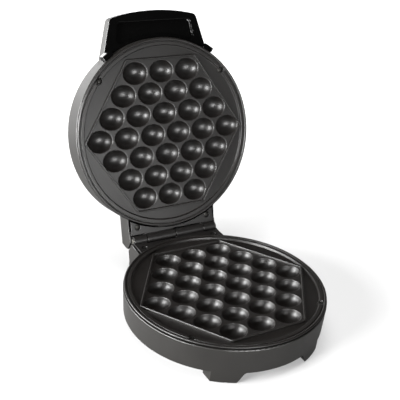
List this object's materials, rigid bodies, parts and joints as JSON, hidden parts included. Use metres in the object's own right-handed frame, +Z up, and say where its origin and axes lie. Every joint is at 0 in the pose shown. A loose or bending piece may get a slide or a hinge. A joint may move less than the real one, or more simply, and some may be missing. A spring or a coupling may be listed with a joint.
{
  "type": "bubble waffle maker",
  "caption": "Small round electric waffle maker for bubble waffles, with hinged lid, front handle and hollowed non-stick plates, shown open.",
  "frame": {"origin": "on the surface it stands on, in the middle of the outline of the open machine", "axes": "+Z up, -Y towards the front of the base, +X along the hinge"},
  "size_m": [0.2004, 0.3019, 0.2653],
  "materials": {
    "matt_black_plastic": "fine matt moulding",
    "gloss_black_plastic": "polished moulding",
    "cover_plastic": "plain moulding",
    "non_stick_plate": "satin non-stick coating on cast aluminium",
    "hinge_steel": "black satin coated steel",
    "bright_steel": "plated steel",
    "black_screw": "blackened steel",
    "element_sheath": "heat-stained steel sheath",
    "shield_sheet": "rolled aluminium sheet",
    "rubber_pad": "moulded rubber",
    "ceramic_block": null,
    "wire_sleeve": "glass fibre sleeve",
    "fuse_body": "metal case",
    "red_lens": "clear red plastic",
    "green_lens": "clear green plastic",
    "lamp_glass": "clear glass bulb"
  },
  "bodies": {
    "base": {"base_housing": "matt_black_plastic", "base_cover": "cover_plastic", "base_cover_screws": "black_screw", "foot_pads": "rubber_pad", "lower_plate": "non_stick_plate", "lower_plate_screws": "black_screw", "lower_element": "element_sheath", "lower_element_clamps": "bright_steel", "lower_heat_shield": "shield_sheet", "lower_shield_screws": "bright_steel", "lower_hinge_leaf": "hinge_steel", "lower_leaf_screws": "black_screw", "hinge_pin": "bright_steel", "thermostat": "ceramic_block", "thermostat_screws": "bright_steel", "thermal_fuse": "fuse_body", "fuse_clip": "bright_steel", "fuse_clip_screw": "bright_steel", "base_terminal_block": "ceramic_block", "base_terminal_screws": "bright_steel", "cord_inlet_bush": "rubber_pad", "base_wires": "wire_sleeve"},
    "lid": {"lid_housing": "matt_black_plastic", "handle_cover": "gloss_black_plastic", "upper_plate": "non_stick_plate", "upper_plate_screws": "black_screw", "upper_element": "element_sheath", "upper_element_clamps": "bright_steel", "upper_heat_shield": "shield_sheet", "upper_shield_screws": "bright_steel", "upper_hinge_leaf": "hinge_steel", "upper_leaf_screws": "black_screw", "power_lamp_lens": "red_lens", "ready_lamp_lens": "green_lens", "power_lamp": "lamp_glass", "ready_lamp": "lamp_glass", "lid_terminal_block": "ceramic_block", "lid_terminal_screws": "bright_steel", "lid_wires": "wire_sleeve"}
  },
  "joints": [
    {"name": "lid_hinge", "type": "hinge", "parent": "base", "child": "lid", "pos_m": [0, 0.05819, 0.0415], "axis": [1, 0, 0], "range_deg": [0, 106.5]}
  ]
}
